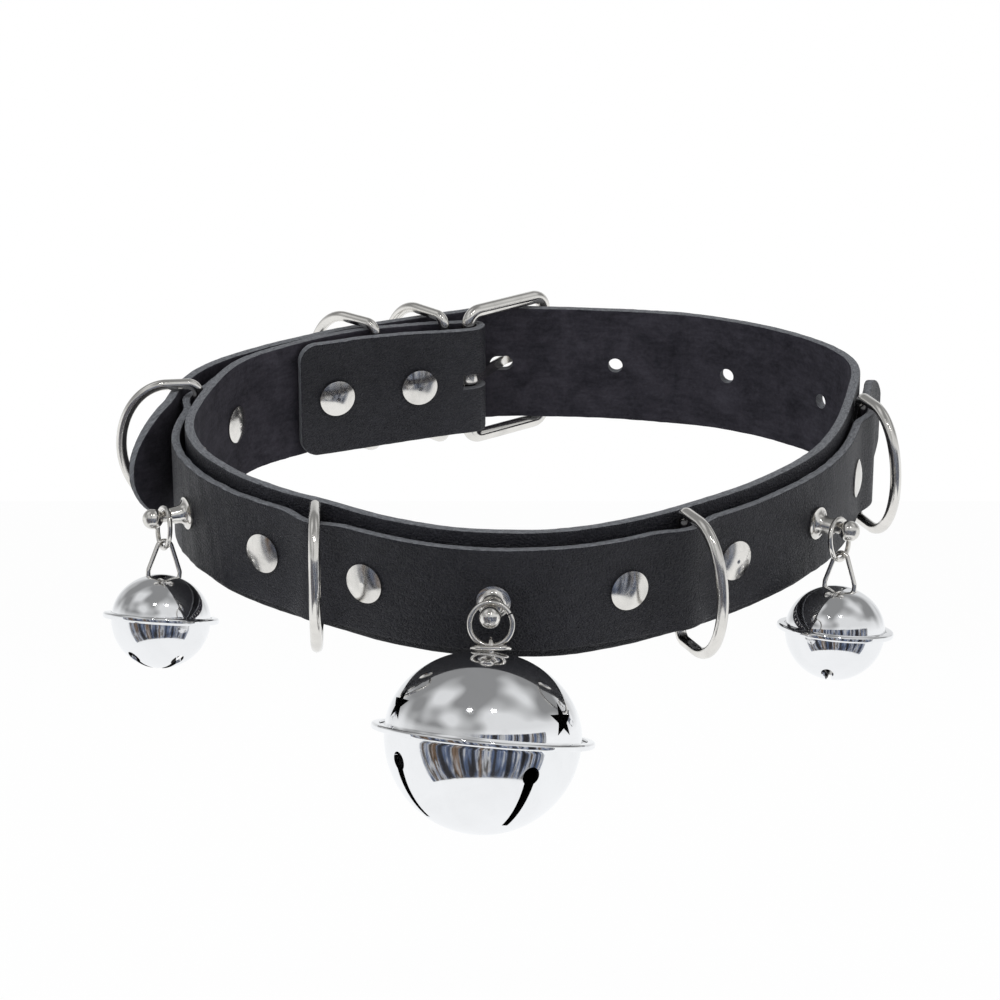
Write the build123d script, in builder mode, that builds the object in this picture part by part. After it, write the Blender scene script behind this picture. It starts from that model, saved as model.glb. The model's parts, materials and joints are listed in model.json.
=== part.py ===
from build123d import *
import math
import os

os.makedirs("parts", exist_ok=True)

# Belled leather collar, all sizes in millimetres.
# The origin is the centre of the neck opening. The collar leans forward on the
# neck, front down, and the three bells hang plumb from ball studs on its front.

# ---- driving dimensions -------------------------------------------------------
LEAN = 21.5            # forward lean of the collar, degrees
STRAP_W = 26.0         # width of the main strap
STRAP_T = 2.0          # thickness of the main strap
FOLD_W = 24.2          # width of the strap where it folds round the buckle bar
TAIL_W = 24.0          # width of the tail past the buckle
OVER_W = 21.0          # width of the overlay strap
OVER_T = 1.8           # thickness of the overlay strap
LAYER_GAP = 0.9        # gap between the two straps
HUMP_HALF = 8.3        # half length of the overlay's hump over a ring's bar
PITCH = 24.8           # spacing of rivets and studs along the main strap
FRONT_X = -3.4         # the centre stud sits here across the front
OVER_HALF = 5.4        # half length of the overlay, in pitches
HOLE_PITCH = 26.0      # spacing of the fitting holes
HOLE_R = 1.65          # radius of a fitting hole
PRONG_HOLE = 5.4       # length of the hole in use, stretched by the prong

RING_WIRE = 1.15       # radius of the wire of D-rings and keepers
RING_PLAY = 0.3        # play of a ring's bar between two layers
D_HALF = 13.45         # half length of a D-ring's bar, on its wire's centre
KEEPER_HALF = 14.45    # the same of a keeper ring
RING_LEG = 6.6         # straight leg of a D-ring from the bar
KEEPER_LEG = 8.6       # straight leg of a keeper ring
RING_BOW = 10.0        # depth of a ring's bow past the legs
RING_CORNER = 2.2      # bend between bar and leg

BUCKLE_WIRE = 1.5      # radius of the wire of the buckle frame
BUCKLE_HALF = 14.8     # half height of the buckle frame, on its wire's centre
BUCKLE_CORNER = 3.0    # bend at the frame's corners
BAR_X, BAR_Y = -9.6, 47.6      # near bar, in the fold
FAR_X, FAR_Y = 7.2, 60.1       # far bar, outside the tail
PRONG_T = 0.9          # thickness of the prong's strip
PRONG_W = 2.4          # width of the prong's strip

RIVET_R = 4.0          # radius of a rivet cap
RIVET_H = 1.05         # height of a rivet cap
RIVET_POST = 1.4       # radius of a rivet post
POST_HOLE = 1.5        # radius of the holes for posts

STUD_BASE = 3.3        # radius of a stud's base flange
STUD_NECK = 1.1        # radius of a stud's neck
STUD_BALL = 2.1        # radius of a stud's ball
NECK_LOW, NECK_HIGH = 3.8, 5.6
SCREW_R = 1.25         # radius of the screw that holds a stud
SCREW_BORE = 1.31      # radius of the bore in the stud

LINK_R = 4.1           # radius of a jump ring, on its wire's centre
LINK_WIRE = 0.5        # radius of its wire
LINK_PLAY = 0.3        # play between a jump ring and what it hangs on
BAIL_WIRE = 0.48       # radius of the wire of a bell's bail

# ---- the collar's own plane ---------------------------------------------------
lean_sin = math.sin(math.radians(LEAN))
lean_cos = math.cos(math.radians(LEAN))
collar = Plane(origin=(0, 0, 0), x_dir=(1, 0, 0), z_dir=(0, -lean_sin, lean_cos))


def to_world(x, y, z):
    """Turn a point or direction of the level collar into the leaned one."""
    return Vector(x, y * lean_cos - z * lean_sin, y * lean_sin + z * lean_cos)


def on_collar(x, y, z, along, facing):
    """A plane on the leaned collar, from directions of the level collar."""
    return Plane(origin=to_world(x, y, z), x_dir=to_world(*along), z_dir=to_world(*facing))


# ---- centre lines of the straps, seen from above the level collar --------------
fold_r = BUCKLE_WIRE + RING_PLAY + STRAP_T / 2
fold_angle = math.radians(15.7)
fold_dir = (math.cos(fold_angle), math.sin(fold_angle))
fold_in = (BAR_X + fold_r * fold_dir[1], BAR_Y - fold_r * fold_dir[0])
fold_mid = (BAR_X + fold_r * fold_dir[0], BAR_Y + fold_r * fold_dir[1])
fold_out = (BAR_X - fold_r * fold_dir[1], BAR_Y + fold_r * fold_dir[0])
fold_lead_in = (fold_in[0] - 2.5 * fold_dir[0], fold_in[1] - 2.5 * fold_dir[1])
fold_lead_out = (fold_out[0] - 2.5 * fold_dir[0], fold_out[1] - 2.5 * fold_dir[1])

FLAP = [(-46.4, 31.6), (-36.6, 35.6), (-23.6, 40.6)]
BACK_LEFT = [(-21.0, 47.6), (-31.2, 43.6), (-40.9, 38.4), (-49.2, 32.2)]
LEFT = [(-57.9, 23.0), (-63.0, 9.8), (-65.5, -3.0), (-66.2, -16.0), (-60.8, -33.0)]
FRONT = [(-51.0, -45.6), (-38.4, -55.2), (-24.5, -64.8), (-9.0, -70.6), (8.0, -71.0)]
RIGHT = [(26.0, -63.6), (42.0, -51.9), (54.8, -39.0), (63.4, -25.0), (68.4, -9.0)]
BACK_RIGHT = [(72.0, 8.0), (73.2, 21.6), (66.4, 35.2), (56.5, 43.8), (46.0, 49.6)]
BACK = [(33.0, 53.7), (19.3, 56.0), (7.0, 57.0), (-2.3, 57.0), (-11.0, 55.1)]
TAIL = [(-21.4, 51.9), (-32.0, 48.2), (-43.0, 42.2), (-53.4, 34.6), (-62.4, 26.0)]
TIP = [(-68.1, 17.0), (-71.0, 7.6), (-72.2, -0.4), (-74.6, -6.6), (-79.0, -11.4)]

with BuildLine() as strap_line:
    Spline(*FLAP, fold_lead_in, fold_in)
    ThreePointArc(fold_in, fold_mid, fold_out)
    body_points = [fold_out, fold_lead_out] + BACK_LEFT + LEFT + FRONT + RIGHT + BACK_RIGHT
    body_points = body_points + BACK + TAIL + TIP
    Spline(*body_points)

flap_edge = strap_line.edges()[0]
fold_edge = strap_line.edges()[1]
body_edge = strap_line.edges()[2]


def outward(edge, arc):
    """Direction of the smooth face at a place along a run of strap."""
    way = edge.tangent_at(arc / edge.length)
    return (way.Y, -way.X)


def beside(edge, arc, distance):
    """Point at a distance from the centre line, towards the smooth face."""
    at = edge.position_at(arc / edge.length)
    way = edge.tangent_at(arc / edge.length)
    return (at.X + way.Y * distance, at.Y - way.X * distance)


def run_of_points(edge, start, finish, distance, step=4.0):
    """Evenly spaced points beside a centre line, at a fixed distance."""
    count = max(3, round((finish - start) / step))
    return [beside(edge, start + (finish - start) * i / count, distance)
            for i in range(count + 1)]


def across(edge, arc, distance, height=0.0):
    """Plane square to the strap's face, its x along the strap, its y up the width."""
    x, y = beside(edge, arc, distance)
    way = edge.tangent_at(arc / edge.length)
    return on_collar(x, y, height, (way.X, way.Y, 0), (way.Y, -way.X, 0))


# the centre stud's place along the strap
front_arc = 150.0
while body_edge.position_at(front_arc / body_edge.length).X < FRONT_X:
    front_arc = front_arc + 0.1


def hump(distance):
    """Rise of the overlay over a ring's bar, 0 to 1."""
    if abs(distance) >= HUMP_HALF:
        return 0.0
    return math.cos(math.pi * distance / HUMP_HALF / 2) ** 2


def gap_at(arc):
    """Gap between the two straps, wider over the D-rings' bars."""
    rise = 2 * (RING_WIRE + RING_PLAY) + 0.1 - LAYER_GAP
    total = LAYER_GAP
    for place in (-4.5, -1.5, 1.5, 4.5):
        total = total + rise * hump(arc - front_arc - place * PITCH)
    flare = max(0.0, arc - front_arc - 5.1 * PITCH)
    return total + 0.055 * flare ** 2


# ---- main strap: flap, fold, band, holes and tail in one length ----------------
smooth = STRAP_T / 2
smooth_flap = run_of_points(flap_edge, 0, flap_edge.length, smooth)
rough_flap = run_of_points(flap_edge, 0, flap_edge.length, -smooth)
smooth_body = run_of_points(body_edge, 0, body_edge.length, smooth)
rough_body = run_of_points(body_edge, 0, body_edge.length, -smooth)
half_fold = fold_edge.length / 2

prong_hole = (-2.3, 57.0)
prong_arc = 380.0
while body_edge.position_at(prong_arc / body_edge.length).X > prong_hole[0]:
    prong_arc = prong_arc + 0.1
fitting_arcs = [prong_arc + HOLE_PITCH * i for i in (-3, -2, -1, 0, 1)]
rivet_arcs = [front_arc + PITCH * i for i in (-5, -4, -2, -1, 1, 2, 4, 5)]
stud_arcs = [front_arc - 3 * PITCH, front_arc, front_arc + 3 * PITCH]
FLAP_RIVETS = [8.3, 27.6]
tail_arc = prong_arc + 8.0
taper = 22.0
tail_outline = run_of_points(body_edge, tail_arc + taper, body_edge.length, smooth + 0.4)
tail_inline = run_of_points(body_edge, tail_arc + taper, body_edge.length, -smooth - 0.4)
end_arc = body_edge.length

with BuildPart() as main_strap:
    with BuildSketch(collar.offset(-STRAP_W / 2)):
        with BuildLine():
            Spline(*smooth_flap)
            ThreePointArc(smooth_flap[-1], beside(fold_edge, half_fold, smooth), smooth_body[0])
            Spline(*smooth_body)
            Line(smooth_body[-1], rough_body[-1])
            Spline(*rough_body)
            ThreePointArc(rough_flap[-1], beside(fold_edge, half_fold, -smooth), rough_body[0])
            Spline(*rough_flap)
            Line(rough_flap[0], smooth_flap[0])
        make_face()
    extrude(amount=STRAP_W)
    # both edges narrow to the fold
    with BuildSketch(on_collar(BAR_X, BAR_Y, 0, (*fold_dir, 0), (-fold_dir[1], fold_dir[0], 0))):
        for side in (1, -1):
            with BuildLine():
                Polyline((8, side * FOLD_W / 2), (8, side * 15), (-26, side * 15),
                         (-26, side * STRAP_W / 2), (-2, side * FOLD_W / 2),
                         (8, side * FOLD_W / 2))
            make_face()
    extrude(amount=5.4, both=True, mode=Mode.SUBTRACT)
    # both edges narrow from the buckle to the tail
    with BuildSketch(across(body_edge, tail_arc + taper / 2, 0)):
        for side in (1, -1):
            with BuildLine():
                Polyline((-taper / 2, side * 15), (-taper / 2, side * STRAP_W / 2),
                         (taper / 2, side * TAIL_W / 2), (taper / 2 + 0.5, side * TAIL_W / 2),
                         (taper / 2 + 0.5, side * 15), (-taper / 2, side * 15))
            make_face()
    extrude(amount=2.0, both=True, mode=Mode.SUBTRACT)
    for low in (TAIL_W / 2, -TAIL_W / 2 - 2):
        with BuildSketch(collar.offset(low)):
            with BuildLine():
                Spline(*tail_outline)
                Line(tail_outline[-1], tail_inline[-1])
                Spline(*tail_inline)
                Line(tail_inline[0], tail_outline[0])
            make_face()
        extrude(amount=2, mode=Mode.SUBTRACT)
    # round tip of the tail
    with BuildSketch(across(body_edge, end_arc, 0)):
        with Locations((-6, 0)):
            Rectangle(18, 30)
        with Locations((-12, 0)):
            Circle(TAIL_W / 2 + 0.02, mode=Mode.SUBTRACT)
        with Locations((-15, 0)):
            Rectangle(6, 30, mode=Mode.SUBTRACT)
    extrude(amount=4.0, both=True, mode=Mode.SUBTRACT)
    # rounded corners of the flap
    with BuildSketch(across(flap_edge, 0, 0)):
        with Locations((3, 0)):
            Rectangle(10, 30)
        with Locations((10, 0)):
            RectangleRounded(20, STRAP_W, 4, mode=Mode.SUBTRACT)
    extrude(amount=1.25, both=True, mode=Mode.SUBTRACT)
    # slot in the fold for the prong
    with BuildSketch(collar.offset(-PRONG_W / 2 - 0.5)):
        with Locations((BAR_X, BAR_Y)):
            Circle(4.3)
    extrude(amount=PRONG_W + 1.0, mode=Mode.SUBTRACT)
    for arc in fitting_arcs:
        with BuildSketch(across(body_edge, arc, 0)):
            if arc == prong_arc:
                SlotOverall(PRONG_HOLE, 2 * HOLE_R)
            else:
                Circle(HOLE_R)
        extrude(amount=2.0, both=True, mode=Mode.SUBTRACT)
    for arc in rivet_arcs + stud_arcs:
        with BuildSketch(across(body_edge, arc, 0)):
            Circle(POST_HOLE)
        extrude(amount=1.6, both=True, mode=Mode.SUBTRACT)
    for arc in FLAP_RIVETS:
        with BuildSketch(across(flap_edge, arc, 2)):
            Circle(POST_HOLE)
        extrude(amount=-9.6, mode=Mode.SUBTRACT)
main_strap.part.label = "main_strap"
export_step(main_strap.part, "parts/main_strap.step")

# ---- overlay strap, riveted outside the main strap ------------------------------
over_start = front_arc - OVER_HALF * PITCH
over_length = 2 * OVER_HALF * PITCH
over_arcs = [over_start + over_length * i / 90 for i in range(91)]
over_inner = [beside(body_edge, arc, smooth + gap_at(arc)) for arc in over_arcs]
over_outer = [beside(body_edge, arc, smooth + gap_at(arc) + OVER_T) for arc in over_arcs]


def over_face(arc):
    """Distance of the overlay's outer face from the main strap's centre line."""
    return smooth + gap_at(arc) + OVER_T


with BuildPart() as overlay_strap:
    with BuildSketch(collar.offset(-OVER_W / 2)):
        with BuildLine():
            Spline(*over_outer)
            Line(over_outer[-1], over_inner[-1])
            Spline(*over_inner)
            Line(over_inner[0], over_outer[0])
        make_face()
    extrude(amount=OVER_W)
    for arc, side in ((over_arcs[0], 1), (over_arcs[-1], -1)):
        with BuildSketch(across(body_edge, arc, over_face(arc) - OVER_T / 2)):
            with Locations((side * 3, 0)):
                Rectangle(10, 24)
            with Locations((side * 10, 0)):
                RectangleRounded(20.2, OVER_W, 6, mode=Mode.SUBTRACT)
        extrude(amount=3.0, both=True, mode=Mode.SUBTRACT)
    for arc in rivet_arcs + stud_arcs:
        with BuildSketch(across(body_edge, arc, over_face(arc) - OVER_T / 2)):
            Circle(POST_HOLE)
        extrude(amount=1.3, both=True, mode=Mode.SUBTRACT)
overlay_strap.part.label = "overlay_strap"
export_step(overlay_strap.part, "parts/overlay_strap.step")

# ---- rivets: a post with its own cap inside, a second cap outside ---------------
dome_r = (RIVET_R ** 2 + 0.8 ** 2) / 1.6
dome_drop = dome_r - math.sqrt(dome_r ** 2 - (RIVET_R / 2) ** 2)


def spin_plane(edge, arc, distance, sign=1):
    """Plane for a turned profile: x up the strap's width, y away from its face."""
    x, y = beside(edge, arc, distance)
    way = edge.tangent_at(arc / edge.length)
    out = (way.Y * sign, -way.X * sign, 0)
    return on_collar(x, y, 0, (0, 0, 1), (-out[1], out[0], 0))


def arc_behind(arc):
    """Place on the strap's outer layer that lies behind a place on the flap."""
    spot = flap_edge.position_at(arc / flap_edge.length)
    way = flap_edge.tangent_at(arc / flap_edge.length)
    best = 0.0
    miss = 99.0
    for i in range(600):
        there = body_edge.position_at(i * 0.1 / body_edge.length)
        off = abs((there.X - spot.X) * way.X + (there.Y - spot.Y) * way.Y)
        if off < miss:
            best = i * 0.1
            miss = off
    there = body_edge.position_at(best / body_edge.length)
    return best, math.hypot(there.X - spot.X, there.Y - spot.Y)


rivets = []
for arc in rivet_arcs:
    length = over_face(arc) + smooth + 0.3
    rivets.append((spin_plane(body_edge, arc, -smooth - 0.26),
                   spin_plane(body_edge, arc, over_face(arc) + 0.06), length))
for arc in FLAP_RIVETS:
    back_arc, reach = arc_behind(arc)
    rivets.append((spin_plane(flap_edge, arc, smooth + 0.22, -1),
                   spin_plane(body_edge, back_arc, smooth + 0.06), reach + 2 * smooth + 0.1))

for number, (inner, outer, length) in enumerate(rivets, start=1):
    with BuildPart() as rivet_post:
        with BuildSketch(inner):
            with BuildLine():
                Polyline((0, -RIVET_H), (0, length), (RIVET_POST, length), (RIVET_POST, 0),
                         (RIVET_R, 0), (RIVET_R, -0.25))
                ThreePointArc((RIVET_R, -0.25), (RIVET_R / 2, dome_drop - RIVET_H), (0, -RIVET_H))
            make_face()
        revolve(axis=Axis(inner.origin, inner.y_dir))
    rivet_post.part.label = f"rivet_post_{number:02d}"
    export_step(rivet_post.part, f"parts/rivet_post_{number:02d}.step")
    with BuildPart() as rivet_cap:
        with BuildSketch(outer):
            with BuildLine():
                Polyline((0, RIVET_H), (0, 0), (RIVET_R, 0), (RIVET_R, 0.25))
                ThreePointArc((RIVET_R, 0.25), (RIVET_R / 2, RIVET_H - dome_drop), (0, RIVET_H))
            make_face()
        revolve(axis=Axis(outer.origin, outer.y_dir))
    rivet_cap.part.label = f"rivet_cap_{number:02d}"
    export_step(rivet_cap.part, f"parts/rivet_cap_{number:02d}.step")

# ---- ball studs and the screws that hold them ------------------------------------
SIDES = ["left", "centre", "right"]
ball_at = NECK_HIGH + math.sqrt(STUD_BALL ** 2 - STUD_NECK ** 2)
for side, arc in zip(SIDES, stud_arcs):
    base = spin_plane(body_edge, arc, over_face(arc) + 0.02)
    with BuildPart() as stud:
        with BuildSketch(base):
            with BuildLine():
                Polyline((SCREW_BORE, 0), (STUD_BASE, 0), (STUD_BASE, 0.4))
                ThreePointArc((STUD_BASE, 0.4), (2.35, 0.85), (1.85, 1.7))
                Line((1.85, 1.7), (1.6, NECK_LOW))
                Line((1.6, NECK_LOW), (STUD_NECK, NECK_LOW + 0.1))
                Line((STUD_NECK, NECK_LOW + 0.1), (STUD_NECK, NECK_HIGH))
                ThreePointArc((STUD_NECK, NECK_HIGH), (STUD_BALL, ball_at),
                              (0, ball_at + STUD_BALL))
                Polyline((0, ball_at + STUD_BALL), (0, 3.2), (SCREW_BORE, 3.2), (SCREW_BORE, 0))
            make_face()
        revolve(axis=Axis(base.origin, base.y_dir))
    stud.part.label = f"stud_{side}"
    export_step(stud.part, f"parts/stud_{side}.step")

    seat = spin_plane(body_edge, arc, -smooth - 0.12)
    shank = over_face(arc) + smooth + 0.12 + 2.7
    with BuildPart() as stud_screw:
        with BuildSketch(seat):
            with BuildLine():
                Polyline((0, -0.95), (0, shank), (SCREW_R, shank), (SCREW_R, 0),
                         (3.4, 0), (3.4, -0.35))
                ThreePointArc((3.4, -0.35), (1.9, -0.82), (0, -0.95))
            make_face()
        revolve(axis=Axis(seat.origin, seat.y_dir))
        slot_plane = Plane(seat.origin, x_dir=seat.x_dir, z_dir=-seat.y_dir)
        with BuildSketch(slot_plane.offset(0.5)):
            Rectangle(0.8, 8, rotation=35)
        extrude(amount=1, mode=Mode.SUBTRACT)
    stud_screw.part.label = f"stud_screw_{side}"
    export_step(stud_screw.part, f"parts/stud_screw_{side}.step")

# ---- D-rings and keeper rings -----------------------------------------------------


def ring_plane(x, y, out, swing):
    """Plane of a ring at its bar: x towards its bow, y up the strap's width."""
    angle = math.atan2(out[1], out[0]) + math.radians(swing)
    way = (math.cos(angle), math.sin(angle))
    return on_collar(x, y, 0, (way[0], way[1], 0), (way[1], -way[0], 0))


def at_bar(arc, swing):
    """The same for a ring whose bar lies between the two straps."""
    x, y = beside(body_edge, arc, smooth + RING_PLAY + RING_WIRE)
    way = body_edge.tangent_at(arc / body_edge.length)
    return ring_plane(x, y, (way.Y, -way.X), swing)


rings = [
    ("d_ring_left", D_HALF, at_bar(front_arc - 4.5 * PITCH, 18)),
    ("d_ring_front_left", D_HALF, at_bar(front_arc - 1.5 * PITCH, 38)),
    ("d_ring_front_right", D_HALF, at_bar(front_arc + 1.5 * PITCH, -9)),
    ("d_ring_right", D_HALF, at_bar(front_arc + 4.5 * PITCH, -56)),
    ("keeper_ring_near", KEEPER_HALF, ring_plane(-14.9, 46.1, (-0.3, 0.95), 28)),
    ("keeper_ring_far", KEEPER_HALF, ring_plane(-30.0, 41.1, (-0.41, 0.91), 28)),
]
for name, half, place in rings:
    leg = KEEPER_LEG if half == KEEPER_HALF else RING_LEG
    with BuildPart() as ring:
        with BuildLine(place):
            bend = RING_CORNER
            knee = bend * (1 - math.sqrt(0.5))
            Line((0, bend - half), (0, half - bend))
            ThreePointArc((0, half - bend), (knee, half - knee), (bend, half))
            Line((bend, half), (leg, half))
            EllipticalCenterArc((leg, 0), RING_BOW, half, start_angle=90, arc_size=-180)
            Line((leg, -half), (bend, -half))
            ThreePointArc((bend, -half), (knee, knee - half), (0, bend - half))
        with BuildSketch(Plane(place.origin, place.x_dir, place.y_dir)):
            Circle(RING_WIRE)
        sweep()
    ring.part.label = name
    export_step(ring.part, f"parts/{name}.step")

# ---- buckle: a wire frame and a prong curled round its near bar ---------------------
frame_x = FAR_X - BAR_X
frame_y = FAR_Y - BAR_Y
frame_len = math.hypot(frame_x, frame_y)
frame_plane = on_collar(BAR_X, BAR_Y, 0, (frame_x, frame_y, 0), (frame_y, -frame_x, 0))
bend = BUCKLE_CORNER
knee = bend * (1 - math.sqrt(0.5))
tall = BUCKLE_HALF
with BuildPart() as buckle_frame:
    with BuildLine(frame_plane):
        Line((0, bend - tall), (0, tall - bend))
        ThreePointArc((0, tall - bend), (knee, tall - knee), (bend, tall))
        Line((bend, tall), (frame_len - bend, tall))
        ThreePointArc((frame_len - bend, tall), (frame_len - knee, tall - knee),
                      (frame_len, tall - bend))
        Line((frame_len, tall - bend), (frame_len, bend - tall))
        ThreePointArc((frame_len, bend - tall), (frame_len - knee, knee - tall),
                      (frame_len - bend, -tall))
        Line((frame_len - bend, -tall), (bend, -tall))
        ThreePointArc((bend, -tall), (knee, knee - tall), (0, bend - tall))
    with BuildSketch(Plane(frame_plane.origin, frame_plane.x_dir, frame_plane.y_dir)):
        Circle(BUCKLE_WIRE)
    sweep()
buckle_frame.part.label = "buckle_frame"
export_step(buckle_frame.part, "parts/buckle_frame.step")

# the prong leaves its curl on a tangent that runs to the hole in the tail
curl_r = BUCKLE_WIRE + 0.06 + PRONG_T / 2
to_hole = math.atan2(prong_hole[1] - BAR_Y, prong_hole[0] - BAR_X)
reach = math.hypot(prong_hole[1] - BAR_Y, prong_hole[0] - BAR_X)
leave = to_hole - math.acos(curl_r / reach)


def curl_point(angle, radius):
    """Point of the curl round the near bar."""
    return (BAR_X + radius * math.cos(angle), BAR_Y + radius * math.sin(angle))


shank_dir = (-math.sin(leave), math.cos(leave))
shank_start = curl_point(leave, curl_r)
curl_end = leave - math.radians(285)
curl_mid = leave - math.radians(140)
with BuildLine() as prong_line:
    beyond = (prong_hole[0] + shank_dir[0] * 2.2, prong_hole[1] + shank_dir[1] * 2.2)
    Spline(prong_hole, beyond, (2.6, 61.6), (FAR_X - 0.3, FAR_Y + 2.05), (FAR_X + 3.2, FAR_Y + 1.9))
tip_edge = prong_line.edges()[0]


def prong_side(distance):
    """One face of the prong's bent end, beside its centre line."""
    points = []
    for i in range(13):
        at = tip_edge.position_at(i / 12)
        way = tip_edge.tangent_at(i / 12)
        points.append((at.X + way.Y * distance, at.Y - way.X * distance))
    return points


half = PRONG_T / 2
near_side = prong_side(half)
off_side = prong_side(-half)
with BuildPart() as buckle_prong:
    with BuildSketch(collar.offset(-PRONG_W / 2)):
        with BuildLine():
            ThreePointArc(curl_point(curl_end, curl_r + half), curl_point(curl_mid, curl_r + half),
                          curl_point(leave, curl_r + half))
            Line(curl_point(leave, curl_r + half), near_side[0])
            Spline(*near_side)
            Line(near_side[-1], off_side[-1])
            Spline(*off_side)
            Line(off_side[0], curl_point(leave, curl_r - half))
            ThreePointArc(curl_point(leave, curl_r - half), curl_point(curl_mid, curl_r - half),
                          curl_point(curl_end, curl_r - half))
            Line(curl_point(curl_end, curl_r - half), curl_point(curl_end, curl_r + half))
        make_face()
    extrude(amount=PRONG_W)
buckle_prong.part.label = "buckle_prong"
export_step(buckle_prong.part, "parts/buckle_prong.step")

# ---- bells: jump ring, bail, two shells and a loose pellet -------------------------
BIG = {"r": 18.75, "top": 16.0, "flange": 21.3, "wall": 0.7, "pellet": 4.2, "drop": 17.0}
SMALL = {"r": 10.0, "top": 9.0, "flange": 11.7, "wall": 0.55, "pellet": 2.4, "drop": 14.2}
TILT = {"left": (3.8, 0.0), "centre": (5.4, 0.0), "right": (5.0, 7.0)}
HEM = 0.45             # thickness of a flange's metal
neck_mid = (NECK_LOW + 0.1 + NECK_HIGH) / 2
up = Vector(0, 0, 1)

STAR_AT = 5.0          # height of the stars above the flange
STAR_R = 3.3
KEYHOLE_AT = 5.4       # depth of the keyholes' round ends below the flange
KEYHOLE_R = 1.75
KEYHOLE_END = 15.6


def turned(origin, x_dir, z_dir):
    """Plane for a profile turned about z_dir: x outwards, y up the axis."""
    return Plane(origin, x_dir=x_dir, z_dir=x_dir.cross(z_dir))


def quarter_points(radius, height):
    """Points of a quarter ellipse, from a shell's rim up to its crown."""
    turns = [math.radians(15 * i) for i in range(6)]
    return [(radius * math.cos(t), height * math.sin(t)) for t in turns] + [(0, height)]


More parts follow.
